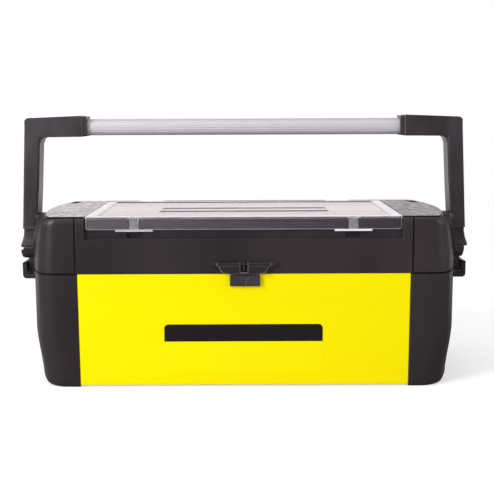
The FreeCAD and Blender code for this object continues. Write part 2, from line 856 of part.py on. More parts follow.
def make_lid_end():
    # End piece of the lid: shell, pivot pad, pivot boss and screw posts.
    skin = lid_solid(wall / 2.0, shoulder)
    shell = lid_solid(0.0, shoulder).cut(lid_solid(wall, shoulder - wall))
    shell = shell.common(outer_side(lid_panel_half + panel_gap, (lid_bottom, shoulder)))
    places = screw_places(lid_screw_y, lid_screw_heights)
    boss = rod(pivot_boss, (inner_lid_end, pad_reach), 0.0, pivot_height)
    shell = fuse([shell, pivot_pad(), boss] + screw_posts(places, inner_lid_end, skin))
    shell = shell.cut(inner_lid(-fit_gap, (lid_bottom - 1.0, shoulder + 1.0)))
    for hole in screw_holes(places, inner_lid_end):
        shell = shell.cut(hole)
    for pocket in deck_pockets():
        shell = shell.cut(pocket)
    bore = (inner_lid_end - 1.0, pad_reach + 1.0)
    return shell.cut(rod(pivot_radius + pin_clearance, bore, 0.0, pivot_height))


def cover_field(z, inset, corner):
    # The cover's plan at an inset, round at the two front corners.
    half = cover_half - inset
    points = [(-half, -cover_front + inset, corner), (half, -cover_front + inset, corner),
              (half, cover_rear - inset, 1.0), (-half, cover_rear - inset, 1.0)]
    return outline_xy(points, z)


def clip_window(x):
    half = clip_width / 2.0 + 0.4
    return box((x - half, x + half), (-cover_front - 1.0, -flange_back + clip_barrel + 0.4),
               (flange_bottom - 1.0, deck_height + 5.0))


def clip_bore(x):
    reach = clip_width / 2.0 + 4.0
    return rod(clip_pin_radius + pin_clearance, (x - reach, x + reach), clip_pin_y, clip_pin_z)


def make_cover():
    # Clear plate with a front flange and a sunk middle with a ribbed frame on it.
    plate = cover_field((cover_seat, cover_top), 0.0, cover_corner)
    outline = [(-cover_half, flange_bottom, 5.0), (cover_half, flange_bottom, 5.0),
               (cover_half, cover_top, 0), (-cover_half, cover_top, 0)]
    flange = outline_xz(outline, (-cover_front, -flange_back))
    flange = flange.common(cover_field((flange_bottom - 1.0, cover_top + 1.0), 0.0, cover_corner))
    panel_top = cover_top - cover_panel_drop
    sunk = cover_field((cover_seat - cover_panel_drop, cover_seat + 0.5), cover_border - cover_plate, 5.0)
    hollow = cover_field((panel_top, deck_height), cover_border, 4.0)
    frame = box(both(pad_half), (-pad_front, pad_rear), (panel_top - 0.2, panel_top + pad_rise))
    field = box(both(pad_half - pad_rib), (-pad_front + pad_rib, pad_rear - pad_rib),
                (panel_top - 1.0, deck_height))
    body = fuse([fuse([plate, flange, sunk]).cut(hollow), frame.cut(field)])
    for x in both(clip_x):
        body = body.cut(clip_window(x))
    for x in both(cover_hinge_x):
        span = (x - cover_hinge_width / 2.0, x + cover_hinge_width / 2.0)
        tab = box(span, (cover_rear - 2.0, cover_hinge_y), (cover_seat, cover_top))
        body = fuse([body, tab, rod(cover_knuckle, span, cover_hinge_y, cover_hinge_z)])
        body = body.cut(rod(cover_hinge_pin_radius + pin_clearance, (span[0] - 1.0, span[1] + 1.0),
                            cover_hinge_y, cover_hinge_z))
    for x in both(clip_x):
        body = body.cut(clip_bore(x))
    return body


def make_clip(x):
    # Narrow strap on a pin in the cover's edge, with a wide finger lip in front of the flange.
    half = clip_width / 2.0
    wide = clip_lip_width / 2.0
    front = -cover_front - 0.5
    back = -flange_back
    low = flange_bottom - clip_lip_drop
    barrel = rod(clip_barrel, (x - half, x + half), clip_pin_y, clip_pin_z)
    strap = box((x - half, x + half), (front, back), (low, clip_pin_z))
    lip = outline_xy(round_rectangle((x - wide, x + wide), (front - clip_lip_reach + 0.5, front), 1.0),
                     (low, low + clip_lip_height))
    points = [(back - 0.5, low + 4.6, 0), (back + clip_nose, low + 2.8, 0), (back - 0.5, low + 0.8, 0)]
    nose = outline_yz(points, (x - half, x + half))
    return fuse([barrel, strap, lip, nose]).cut(clip_bore(x))


def clip_pin(x):
    reach = clip_width / 2.0 + 3.8
    return rod(clip_pin_radius, (x - reach, x + reach), clip_pin_y, clip_pin_z)


def make_latch():
    # Flap on a barrel, its lower corners drawn in, with a window for the staple.
    top = latch_height + latch_barrel - 1.0
    corner = latch_bottom + latch_corner_rise
    points = [(-latch_half, top, 0.8), (-latch_corner_half, corner, 3.0),
              (-latch_bottom_half, latch_bottom, 6.0), (latch_bottom_half, latch_bottom, 6.0),
              (latch_corner_half, corner, 3.0), (latch_half, top, 0.8)]
    back = latch_y + 0.3
    plate = outline_xz(points, (back - latch_plate, back))
    rounding = outline_yz(round_rectangle((back - latch_plate, back + 6.0), (latch_bottom, top), 1.0),
                          both(latch_half))
    plate = plate.common(rounding)
    barrel = rod(latch_barrel, both(latch_half), latch_y, latch_height)
    window = box(both(latch_slot_half), both(half_depth + beyond), (latch_slot_bottom, latch_height + 8.0))
    bore = rod(latch_pin_radius + pin_clearance, both(latch_half + 1.0), latch_y, latch_height)
    return fuse([plate, barrel]).cut(window).cut(bore)


def make_latch_pin():
    reach = latch_half + latch_ear_gap + latch_ear
    return rod(latch_pin_radius, both(reach), latch_y, latch_height)


def lean(height, low, high):
    # X on a straight face of the leg, low at the step above the pivot and high under the collar.
    start = pivot_height + arm_step
    return low + (high - low) * (height - start) / (collar_bottom - start)


def leg_inner_low():
    # Just clear of the bulged end at the lowest place that the turned leg passes.
    lowest = pivot_height - arm_width / 2.0
    return lid_end_reach(lowest) - end_sag(arm_step, lid_bulge(lowest)) + leg_gap


def leg_inner(z):
    return lean(z, leg_inner_low(), arm_inner_high)


def leg_outer(z):
    return lean(z, arm_outer_low, arm_outer_high)


def arm_outline():
    # Leg and collar in side view, the step above the hub included.
    foot = pivot_height + foot_top
    step = pivot_height + arm_step
    inner = leg_inner(collar_bottom)
    return [(hub_inner, foot, 0), (leg_outer(foot), foot, 0), (leg_outer(arm_top - 5.0), arm_top - 4.0, 3.0),
            (leg_outer(arm_top) - 4.0, arm_top, 3.0), (collar_end, collar_top, 1.0),
            (collar_end, collar_bottom, 0.8), (inner - 0.8 * arm_gusset, collar_bottom - 0.6, 6.0),
            (leg_inner(collar_bottom - arm_gusset), collar_bottom - arm_gusset, 6.0),
            (leg_inner_low(), step, 1.0), (hub_inner, step, 1.0)]


def leg_section(z, inner):
    points = round_rectangle((inner, leg_outer(z)), both(arm_width / 2.0), arm_round)
    return corner_wire(points, lambda a, b: Vector(a, b, z))


def collar_section(x):
    points = round_rectangle(both(arm_width / 2.0), (collar_bottom - 2.0, collar_top + 1.0), arm_round)
    return corner_wire(points, lambda a, b: Vector(x, a, b))


def arm_blank():
    foot = pivot_height + foot_top
    leg_wires = [leg_section(foot, leg_inner_low()), leg_section(arm_top, arm_inner_high)]
    leg = Part.makeLoft(leg_wires, True, True)
    collar = Part.makeLoft([collar_section(collar_end), collar_section(leg_outer(arm_top))], True, True)
    inner = leg_inner(collar_bottom)
    corners = [(inner - 2.0 * arm_gusset, collar_bottom, 0), (inner + 2.0, collar_bottom + 2.0, 0),
               (inner + 2.0, collar_bottom - 2.0 * arm_gusset, 0)]
    gusset = outline_xz(corners, both(arm_width / 2.0 - arm_round))
    return fuse([leg, collar, gusset]).common(outline_xz(arm_outline(), both(arm_width)))


def foot_wire(height, reach, half):
    z = pivot_height + height
    points = [(hub_inner, -half, 0), (reach, -half, 2.4), (reach, half, 2.4), (hub_inner, half, 0)]
    return corner_wire(points, lambda a, b: Vector(a, b, z))


def arm_foot(block_reach):
    # Banded and flared foot, its lip, the round block under it and the tongue that enters the catch.
    width = arm_width / 2.0
    reach = leg_outer(pivot_height + foot_top)
    rise = foot_top - lip_top
    band = Part.makeLoft([foot_wire(foot_band, reach - 0.2, width - 0.1),
                          foot_wire(foot_top, reach + 0.1, width + 0.8)], True, True)
    wires = [foot_wire(foot_top, reach - 0.6, foot_waist),
             foot_wire(foot_top - 0.4 * rise, reach, foot_waist + 0.5),
             foot_wire(foot_top - 0.75 * rise, reach + 1.7, foot_waist + 2.4),
             foot_wire(lip_top, lip_reach, lip_half)]
    flare = Part.makeLoft(wires, True, False)
    lip = Part.Face(foot_wire(lip_top, lip_reach, lip_half)).extrude(Vector(0, 0, lip_bottom - lip_top))
    round_hub = rod(hub_radius, (hub_inner, block_reach), 0.0, pivot_height)
    low = pivot_height - hub_radius - 1.0
    neck_span = (hub_inner, lip_reach - 5.2)
    neck = round_hub.common(box(neck_span, both(hub_radius), (low, pivot_height + lip_bottom)))
    high = pivot_height + block_top
    corners = [(hub_inner, low + 1.0, 0), (block_reach, low + 1.0, 4.0), (block_reach, high, 0.8),
               (hub_inner, high, 0)]
    block = outline_xz(corners, both(hub_radius)).common(round_hub)
    tongue_root = hub_inner + tongue_inset
    tongue = outline_xz([(tongue_root, tongue_end, 1.0), (tongue_reach, tongue_end, 2.4),
                         (tongue_reach, pivot_height, 0), (tongue_root, pivot_height, 0)], both(tongue_half))
    return [band, flare, lip, neck, block, tongue]


def collar_groove():
    # Turns the collar's end into a slightly smaller band.
    outer = box((collar_end - 1.0, collar_end + collar_ring), both(arm_width),
                (collar_bottom - 5.0, collar_top + 5.0))
    half = arm_width / 2.0 - collar_ring_rise
    inner = outline_yz(round_rectangle(both(half), (collar_bottom + collar_ring_rise,
                                                    collar_top - 0.5 - collar_ring_rise), arm_round),
                       (collar_end - 2.0, collar_end + collar_ring + 1.0))
    return outer.cut(inner)


def leg_core():
    # Hollow of the leg, open into the bore of the bar.
    low = pivot_height + arm_step + 8.0
    high = bar_height + bar_radius - 5.0
    near = bar_half - 3.0
    outline = [(leg_inner(low) + leg_wall, low, 2.0), (leg_outer(low) - leg_wall, low, 2.0),
               (leg_outer(high) - leg_wall, high, 2.0), (near, high, 0), (near, collar_bottom + 8.0, 0),
               (leg_inner(collar_bottom) + leg_wall, collar_bottom - 6.0, 0)]
    return outline_xz(outline, both(arm_width / 2.0 - leg_wall))


def pivot_seat():
    return leg_outer(pivot_height) - pivot_head - pivot_head_sink


def make_arm(block_reach):
    body = fuse([arm_blank()] + arm_foot(block_reach))
    body = body.cut(collar_groove()).cut(leg_core())
    body = body.cut(rod(bar_radius + pin_clearance, (collar_end - 1.0, bar_half + fit_gap), 0.0, bar_height))
    body = body.cut(rod(pivot_radius + pin_clearance, (hub_inner - 1.0, lip_reach + 1.0), 0.0, pivot_height))
    body = body.cut(rod(pivot_head_radius + 0.4, (pivot_seat(), lip_reach + 1.0), 0.0, pivot_height))
    rear = arm_width / 2.0
    body = body.cut(shaft(screw_radius + pin_clearance, bar_screw_x, (0.0, rear + 1.0), bar_height))
    return body.cut(shaft(screw_head + fit_gap, bar_screw_x, (bar_screw_seat(), rear + 1.0), bar_height))


def bar_screw_seat():
    # Y at which the head of a bar screw sits, just under the collar's rear face.
    return arm_width / 2.0 - screw_head_height - 0.3


def make_bar():
    # Round tube with flutes along it.
    tube = ring(bar_radius, bar_radius - bar_wall, both(bar_half), 0.0, bar_height)
    reach = bar_radius - flute_depth + flute_radius
    cuts = []
    for index in range(flute_count):
        turn = 2.0 * math.pi * (index + 0.5) / flute_count
        cuts.append(rod(flute_radius, both(bar_half + 1.0), reach * math.sin(turn),
                        bar_height + reach * math.cos(turn)))
    tube = tube.cut(Part.makeCompound(cuts))
    for x in both(bar_screw_x):
        tube = tube.cut(shaft(screw_radius + pin_clearance, x, (0.0, bar_radius + 1.0), bar_height))
    return tube


def bar_screw(x):
    seat = bar_screw_seat() + 0.05
    head = shaft(screw_head, x, (seat, seat + screw_head_height), bar_height)
    shank = shaft(screw_radius, x, (bar_radius - bar_wall - 3.0, seat + 0.1), bar_height)
    return head.fuse(shank).removeSplitter()


def make_pivot_bolt():
    # Shank in the lid's end piece and through the hub, head sunk in the foot.
    seat = pivot_seat() + 0.2
    shank = rod(pivot_radius, (inner_lid_end + fit_gap + 1.0, seat + 0.1), 0.0, pivot_height)
    head = rod(pivot_head_radius, (seat, seat + 0.7 * pivot_head), 0.0, pivot_height)
    crown = Part.makeCone(pivot_head_radius, pivot_head_radius - 1.4, 0.3 * pivot_head,
                          Vector(seat + 0.7 * pivot_head, 0, pivot_height), Vector(1, 0, 0))
    return fuse([shank, head, crown])


def make_washer():
    return ring(washer_radius, pivot_radius + pin_clearance, (pad_reach, pad_reach + washer_thickness),
                0.0, pivot_height)


def tray_field(z, inset, corner):
    points = round_rectangle(both(tray_half - inset), both(tray_depth / 2.0 - inset), corner)
    return outline_xy(points, z)


def make_tray():
    # Long lift-out tray with a grip on its spine.
    top = tray_bottom + tray_height
    floor = tray_bottom + tray_wall
    half = tray_depth / 2.0
    body = tray_field((tray_bottom, top), 0.0, tray_corner)
    body = body.fuse(tray_field((top - 2.0, top), -tray_rim, tray_corner + tray_rim))
    body = body.cut(tray_field((floor, top + 1.0), tray_wall, tray_corner - tray_wall))
    spine = box(both(tray_half - 1.0), both(tray_spine / 2.0), (floor - 1.0, top - tray_spine_drop))
    grip = outline_xz([(-tray_grip_half, floor - 1.0, 0), (tray_grip_half, floor - 1.0, 0),
                       (tray_grip_half, top, 5.0), (-tray_grip_half, top, 5.0)], both(tray_spine / 2.0))
    hole = outline_xz(round_rectangle(both(tray_hole_half), (top - 7.0 - tray_hole_height, top - 7.0), 8.0),
                      both(tray_spine))
    body = fuse([body, spine, grip]).cut(hole)
    thick = divider / 2.0 + divider_fit
    for x in divider_places(tray_bays, tray_half):
        slot = box((x - thick, x + thick), both(tray_spine / 2.0 + 1.0), (floor, top + 1.0))
        core = box((x - thick - 1.0, x + thick + 1.0), both(tray_spine / 2.0 - divider_groove),
                   (floor - 1.0, top))
        body = body.cut(slot.cut(core))
    return body


def tray_dividers():
    pieces = []
    near = tray_spine / 2.0 - divider_groove + 0.2
    far = tray_depth / 2.0 - tray_wall - 0.2
    z = (tray_bottom + tray_wall + 0.1, tray_bottom + tray_height - tray_spine_drop - 2.0)
    for x in divider_places(tray_bays, tray_half):
        pieces.append(box((x - divider / 2.0, x + divider / 2.0), (-far, -near), z))
        pieces.append(box((x - divider / 2.0, x + divider / 2.0), (near, far), z))
    return pieces


def bin_dividers():
    pieces = []
    near = inner_wall / 2.0 + 0.2
    z = (bin_floor + 0.1, shoulder - 5.0)
    front = (-pan_front - divider_groove + 0.2, -near)
    rear = (near, pan_rear + divider_groove - 0.2)
    for x in divider_places(front_bins, pan_half):
        pieces.append(box((x - divider / 2.0, x + divider / 2.0), front, z))
    for x in divider_places(rear_bins, pan_half):
        pieces.append(box((x - divider / 2.0, x + divider / 2.0), rear, z))
    return pieces


def cover_hinge_pin(x):
    reach = cover_hinge_width / 2.0 + 0.4 + cover_hinge_ear
    return rod(cover_hinge_pin_radius, (x - reach, x + reach), cover_hinge_y, cover_hinge_z)


def save(name, shape):
    shape.exportStep("parts/" + name + ".step")
    bounds = shape.optimalBoundingBox()
    print("%-20s solids %d valid %s volume %7.1f cm3  X %.1f %.1f  Y %.1f %.1f  Z %.1f %.1f" % (
        name, len(shape.Solids), shape.isValid(), shape.Volume / 1000.0, bounds.XMin, bounds.XMax,
        bounds.YMin, bounds.YMax, bounds.ZMin, bounds.ZMax))


def save_pair(name, right):
    save(name + "_right", right)
    save(name + "_left", mirror_x(right))


def save_group(name, pieces):
    save(name, Part.makeCompound(pieces))


os.makedirs("parts", exist_ok=True)
save("tub", make_tub())
save_pair("tub_end_cap", make_tub_end())
save_group("tub_cap_screws", screws(screw_places(tub_screw_y, tub_screw_heights),
                                    inner_tub_end - inner_wall - lip_inset - inner_tub_draft))
save("strike_block", make_strike())
save("front_label", make_label())
save_group("rear_hinge_pins", [hinge_pin(x) for x in hinge_places])
save("lid_shell", make_lid())
save_pair("lid_end", make_lid_end())
save_group("lid_end_screws", screws(screw_places(lid_screw_y, lid_screw_heights), inner_lid_end - inner_wall))
for number, piece in enumerate(bin_dividers(), 1):
    save("bin_divider_%d" % number, piece)
save("cover", make_cover())
save_group("cover_hinge_pins", [cover_hinge_pin(x) for x in both(cover_hinge_x)])
save("clip_right", make_clip(clip_x))
save("clip_left", make_clip(-clip_x))
save_group("clip_pins", [clip_pin(x) for x in both(clip_x)])
save("latch_flap", make_latch())
save("latch_pin", make_latch_pin())
save("handle_arm_right", make_arm(hub_inner + block_out_right))
save("handle_arm_left", mirror_x(make_arm(hub_inner + block_out_left)))
save("handle_bar", make_bar())
save_group("bar_screws", [bar_screw(x) for x in both(bar_screw_x)])
save_pair("pivot_bolt", make_pivot_bolt())
save_group("pivot_washers", both_sides(make_washer()))
save("tray", make_tray())
for number, piece in enumerate(tray_dividers(), 1):
    save("tray_divider_%d" % number, piece)
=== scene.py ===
import math

import bpy
import numpy as np
from mathutils import Matrix, Vector


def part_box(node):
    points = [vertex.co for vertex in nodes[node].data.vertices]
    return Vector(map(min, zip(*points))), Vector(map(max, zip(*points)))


# Plastic tool box with a handle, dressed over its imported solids. Metres, same frame as the solids.

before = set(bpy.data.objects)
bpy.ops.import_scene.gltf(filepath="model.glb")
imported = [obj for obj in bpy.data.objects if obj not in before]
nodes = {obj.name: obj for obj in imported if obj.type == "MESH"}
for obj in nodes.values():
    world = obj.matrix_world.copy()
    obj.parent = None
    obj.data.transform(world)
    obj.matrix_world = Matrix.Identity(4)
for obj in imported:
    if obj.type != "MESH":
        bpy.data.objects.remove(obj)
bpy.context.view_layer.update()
print("tool box: frame loaded, %d nodes" % len(nodes))

# corners of the solids that the finishes follow
coverLow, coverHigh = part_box("cover")
endLow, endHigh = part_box("lid_end_right")
barLow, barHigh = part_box("handle_bar")
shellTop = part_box("lid_shell")[1].z
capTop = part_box("tub_end_cap_right")[1].z
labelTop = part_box("front_label")[1].z


# node helpers

def addNode(tree, kind, **inputs):
    # a node with its inputs set: numbers and colours by value, sockets by a link, and i0, i1 by place
    node = tree.nodes.new(kind)
    for name, value in inputs.items():
        numbered = name[0] == "i" and name[1:].isdigit()
        socket = node.inputs[int(name[1:])] if numbered else node.inputs[name.replace("_", " ")]
        if isinstance(value, bpy.types.NodeSocket):
            tree.links.new(value, socket)
        else:
            socket.default_value = value
    return node


def clearTree(tree):
    for node in list(tree.nodes):
        tree.nodes.remove(node)


def newMaterial(name):
    material = bpy.data.materials.new(name)
    material.use_nodes = True
    tree = material.node_tree
    clearTree(tree)
    output = tree.nodes.new("ShaderNodeOutputMaterial")
    shader = tree.nodes.new("ShaderNodeBsdfPrincipled")
    tree.links.new(shader.outputs["BSDF"], output.inputs["Surface"])
    return material, tree, shader


def objectNoise(tree, scale, detail=2.0, stretch=(1.0, 1.0, 1.0)):
    # noise over the object's own coordinates, in features per metre
    coordinates = addNode(tree, "ShaderNodeTexCoord")
    mapping = addNode(tree, "ShaderNodeMapping", Vector=coordinates.outputs["Object"], Scale=stretch)
    noise = addNode(tree, "ShaderNodeTexNoise", Vector=mapping.outputs["Vector"], Scale=scale, Detail=detail)
    return noise.outputs["Fac"]


def remap(tree, value, low, high, outLow, outHigh):
    # low to high becomes outLow to outHigh, and stays there beyond both ends
    node = addNode(tree, "ShaderNodeMapRange", Value=value, i1=low, i2=high, i3=outLow, i4=outHigh)
    return node.outputs["Result"]


def maths(tree, operation, first, second=0.0):
    node = addNode(tree, "ShaderNodeMath", i0=first, i1=second)
    node.operation = operation
    return node.outputs["Value"]


def mixColour(tree, factor, first, second):
    # the colours are sockets or tuples, and a tuple of three gets a full alpha
    node = tree.nodes.new("ShaderNodeMix")
    node.data_type = "RGBA"
    for socket, value in ((node.inputs[0], factor), (node.inputs[6], first), (node.inputs[7], second)):
        if isinstance(value, bpy.types.NodeSocket):
            tree.links.new(value, socket)
        elif isinstance(value, tuple):
            socket.default_value = value + (1.0,) * (4 - len(value))
        else:
            socket.default_value = value
    return node.outputs[2]


# how far the rounded and the flat normal agree, on a face and on an edge
edgeTurn = {"samples": 4, "flat": 0.98, "round": 0.72}


def edgeMask(tree, radius):
    # the rounded normal, and 0 on a face to 1 on an edge by how far it leaves the flat normal
    bevel = tree.nodes.new("ShaderNodeBevel")
    bevel.samples = edgeTurn["samples"]
    bevel.inputs["Radius"].default_value = radius
    geometry = tree.nodes.new("ShaderNodeNewGeometry")
    dot = tree.nodes.new("ShaderNodeVectorMath")
    dot.operation = "DOT_PRODUCT"
    tree.links.new(bevel.outputs["Normal"], dot.inputs[0])
    tree.links.new(geometry.outputs["Normal"], dot.inputs[1])
    edge = remap(tree, dot.outputs["Value"], edgeTurn["flat"], edgeTurn["round"], 0.0, 1.0)
    return bevel.outputs["Normal"], edge


# places on the object

fadeReach = 0.22    # from the middle of the box to either end of a fade
sideBlend = 0.0006  # over which a side's finish comes in
lineBlend = 0.0002  # over which a band or line does


def along(tree, axis):
    # the object's own coordinate, in metres
    coordinates = addNode(tree, "ShaderNodeTexCoord")
    parts = addNode(tree, "ShaderNodeSeparateXYZ", Vector=coordinates.outputs["Object"])
    return parts.outputs[axis]


def fromMiddle(tree):
    return maths(tree, "ABSOLUTE", along(tree, "X"))


def towardsRight(tree, span):
    # runs from the first value at the left end of the fade to the second at its right end
    return remap(tree, along(tree, "X"), -fadeReach, fadeReach, *span)


def beyondSide(tree, distance):
    # 1 past a distance from the middle, towards either end
    return remap(tree, fromMiddle(tree), distance, distance + sideBlend, 0.0, 1.0)


def within(tree, value, low, high, blend=lineBlend):
    # 1 between low and high, and 0 past a blend on both sides
    rising = remap(tree, value, low - blend, low, 0.0, 1.0)
    falling = remap(tree, value, high, high + blend, 1.0, 0.0)
    return maths(tree, "MULTIPLY", rising, falling)


def insideBox(tree, low, high):
    inside = 1.0
    for axis, start, end in zip("XYZ", low, high):
        inside = maths(tree, "MULTIPLY", within(tree, along(tree, axis), start, end), inside)
    return inside


# moulded plastic

moulding = {"cloudDetail": 4.0, "cloudSpan": (0.3, 0.7), "roughSpan": (0.25, 0.75), "grainDetail": 3.0,
            "blotchDetail": 5.0, "blotchSpan": (0.35, 0.65), "paintedSeamShade": (0.0006, 0.0005, 0.0005),
            "seamRoughness": 1.0}


def mouldedPlastic(name, look):
    material, tree, shader = newMaterial(name)
    rounded, edge = edgeMask(tree, look["edgeRadius"])
    cloud = objectNoise(tree, look["cloudScale"], moulding["cloudDetail"], look["cloudStretch"])
    grain = objectNoise(tree, look["grainScale"], moulding["grainDetail"])
    clouded = remap(tree, cloud, *moulding["cloudSpan"], 0.0, 1.0)
    colour = mixColour(tree, clouded, look["colour"], look["cloudColour"])
    paintedEdge = look["paintedEdgeShare"]
    if "paintedEdgeBeyond" in look:
        # painted highlight: the edges that stand out at the ends of the box are painted paler still
        paintedEdge = remap(tree, beyondSide(tree, look["paintedEdgeBeyond"]), 0.0, 1.0, paintedEdge, 1.0)
    # painted highlight: the edges are painted paler on the dark plastics, and painted shade: a darker orange
    # on the yellow's edges
    colour = mixColour(tree, remap(tree, edge, 0.0, 1.0, 0.0, paintedEdge), colour, look["paintedEdgeColour"])
    rough = remap(tree, cloud, *moulding["roughSpan"], *look["roughness"])
    if "glossAbove" in look:
        # the flat top is smoother than the sides, blotchy, and duller towards the right
        top = remap(tree, along(tree, "Z"), look["glossAbove"] - lineBlend, look["glossAbove"], 0.0, 1.0)
        blotch = objectNoise(tree, look["glossScale"], moulding["blotchDetail"])
        blotch = remap(tree, blotch, *moulding["blotchSpan"], *look["glossRoughness"])
        blotch = maths(tree, "ADD", blotch, towardsRight(tree, look["dulling"]))
        rough = remap(tree, top, 0.0, 1.0, rough, blotch)
        # painted sheen: the flat top is tinted a paler, warmer grey
        sheen = remap(tree, top, 0.0, 1.0, 0.0, look["sheenShare"])
        colour = mixColour(tree, sheen, colour, look["sheenAndShadeColour"])
    for axis, low, high in look.get("seams", []):
        # painted shade: edges that face each other across a narrow gap are painted near black, and X counts
        # from the middle
        place = along(tree, axis) if axis == "Z" else fromMiddle(tree)
        seam = within(tree, place, low, high)
        colour = mixColour(tree, seam, colour, moulding["paintedSeamShade"])
        rough = remap(tree, seam, 0.0, 1.0, rough, moulding["seamRoughness"])
    tree.links.new(colour, shader.inputs["Base Color"])
    tree.links.new(rough, shader.inputs["Roughness"])
    bump = addNode(tree, "ShaderNodeBump", Strength=look["grainStrength"], Distance=look["grainDepth"],
                   Height=grain, Normal=rounded)
    tree.links.new(bump.outputs["Normal"], shader.inputs["Normal"])
    shader.inputs["IOR"].default_value = look["ior"]
    shader.inputs["Specular IOR Level"].default_value = look["specular"]
    return material


# painted shade: dark bands at the seams, by how far they start and end from the edge of the piece
lidSeam = ("Z", endLow.z - 0.0006, endLow.z + 0.0009)
sideSeam = ("X", endLow.x - 0.0006, endLow.x + 0.0011)
capSeam = ("Z", capTop - 0.0018, capTop - 0.0005)

# the edge colours below are painted highlights on the edges of the dark plastics and painted shade on the
# edges of the yellow
blackLid = {"colour": (0.0125, 0.0078, 0.0100), "cloudColour": (0.0370, 0.0262, 0.0310), "cloudScale": 6.0,
            "cloudStretch": (1.0, 1.0, 0.40), "paintedEdgeColour": (0.160, 0.140, 0.150), "paintedEdgeShare": 0.45,
            "edgeRadius": 0.0010, "roughness": (0.32, 0.46), "grainScale": 1300.0, "grainStrength": 0.30,
            "grainDepth": 0.00010, "ior": 1.49, "specular": 0.5}
blackEnd = dict(blackLid, seams=[lidSeam, sideSeam])
blackShell = dict(blackLid, glossAbove=shellTop - 0.0001, glossScale=110.0, glossRoughness=(0.17, 0.36),
                  sheenShare=0.80, sheenAndShadeColour=(0.058, 0.043, 0.046), dulling=(-0.05, 0.09))
blackTub = dict(blackLid, colour=(0.0165, 0.0112, 0.0135), cloudColour=(0.0340, 0.0245, 0.0285),
                paintedEdgeBeyond=endHigh.x - 0.0003, paintedEdgeColour=(0.21, 0.18, 0.195), seams=[capSeam])
blackArm = dict(blackLid, colour=(0.0240, 0.0185, 0.0222), cloudColour=(0.0500, 0.0410, 0.0475),
                cloudScale=26.0, roughness=(0.34, 0.46), paintedEdgeColour=(0.27, 0.235, 0.250), paintedEdgeShare=1.0,
                edgeRadius=0.0014)
blackLatch = dict(blackLid, colour=(0.0150, 0.0110, 0.0130), cloudColour=(0.0240, 0.0185, 0.0215),
                  paintedEdgeColour=(0.52, 0.45, 0.49), paintedEdgeShare=1.0, edgeRadius=0.0022)
blackTray = dict(blackLid, colour=(0.022, 0.021, 0.022), cloudColour=(0.030, 0.029, 0.030))
greyDivider = dict(blackLid, colour=(0.110, 0.110, 0.118), cloudColour=(0.130, 0.130, 0.138),
                   paintedEdgeColour=(0.22, 0.22, 0.23), edgeRadius=0.0004)
# painted shade: the yellow's edges are painted a darker orange
yellowTub = {"colour": (0.990, 0.860, 0.0006), "cloudColour": (0.985, 0.825, 0.0005), "cloudScale": 5.0,
             "cloudStretch": (0.30, 1.0, 2.6), "paintedEdgeColour": (0.98, 0.66, 0.004), "paintedEdgeShare": 0.6,
             "edgeRadius": 0.0009, "roughness": (0.38, 0.50), "grainScale": 1100.0, "grainStrength": 0.18,
             "grainDepth": 0.00008, "ior": 1.49, "specular": 0.05}


# clear and translucent plastic

flow = {"detail": 2.0, "stretch": (0.25, 1.0, 1.0), "span": (0.3, 0.7)}


def clearPlastic(name, look):
    material, tree, shader = newMaterial(name)
    rounded, edge = edgeMask(tree, look["edgeRadius"])
    ripple = objectNoise(tree, look["flowScale"], flow["detail"], flow["stretch"])
    # painted highlight: the edges are painted pale and less clear, where light gathers along them
    colour = mixColour(tree, edge, look["colour"], look["paintedEdgeColour"])
    transmission = remap(tree, edge, 0.0, 1.0, look["transmission"], look["edgeTransmission"])
    rough = remap(tree, ripple, *flow["span"], *look["roughness"])
    if "paintedPaleLeft" in look:
        # painted reflection: less clear and so paler towards the left
        transmission = maths(tree, "MULTIPLY", transmission, towardsRight(tree, look["paintedPaleLeft"]))
    if "paleBeyond" in look:
        # painted highlight: the rounded ends are painted pale, for the light they catch
        end = maths(tree, "MULTIPLY", beyondSide(tree, look["paleBeyond"]), look["paleShare"])
        colour = mixColour(tree, end, colour, look["paintedEdgeColour"])
        transmission = remap(tree, end, 0.0, 1.0, transmission, look["edgeTransmission"])
    for zone in look["zones"]:
        # bands and lines with their own tint and haze, a later one over an earlier one
        inside = insideBox(tree, zone["low"], zone["high"])
        colour = mixColour(tree, inside, colour, zone["colour"])
        transmission = remap(tree, inside, 0.0, 1.0, transmission, zone["transmission"])
        rough = remap(tree, inside, 0.0, 1.0, rough, zone["roughness"])
    tree.links.new(colour, shader.inputs["Base Color"])
    tree.links.new(transmission, shader.inputs["Transmission Weight"])
    tree.links.new(rough, shader.inputs["Roughness"])
    shader.inputs["IOR"].default_value = look["ior"]
    bump = addNode(tree, "ShaderNodeBump", Strength=look["flowStrength"], Distance=look["flowDepth"],
                   Height=ripple, Normal=rounded)
    tree.links.new(bump.outputs["Normal"], shader.inputs["Normal"])
    return material


# cover: a pale border that is a painted highlight, three bands of the sunk middle, and lines of painted
# shade along the ribs and the rear step

# half widths of the zones, and how deep they reach below the cover's top
coverSides = {"border": coverHigh.x, "panel": coverHigh.x - 0.0152, "soft": coverHigh.x - 0.0182,
              "rib": coverHigh.x - 0.0955}
coverDepths = {"border": 0.0005, "panel": 0.0038, "rib": 0.0008}
zoneAbove = 0.0002
zoneRoughness = 0.20
# painted shade: the lines along the ribs' fronts and the rear step are painted dark
paintedShadeLine = {"colour": (0.10, 0.070, 0.068), "transmission": 0.30}
paintedSoftShadeLine = {"colour": (0.42, 0.36, 0.35), "transmission": 0.50}


def coverZone(start, end, side, depth, look, above=zoneAbove):
    # from start to end behind the front flange, to the same side left and right, down from the top
    half, front, top = coverSides[side], coverLow.y, coverHigh.z
    return dict(look, low=(-half, front + start, top - coverDepths[depth]),
                high=(half, front + end, top + above), roughness=zoneRoughness)


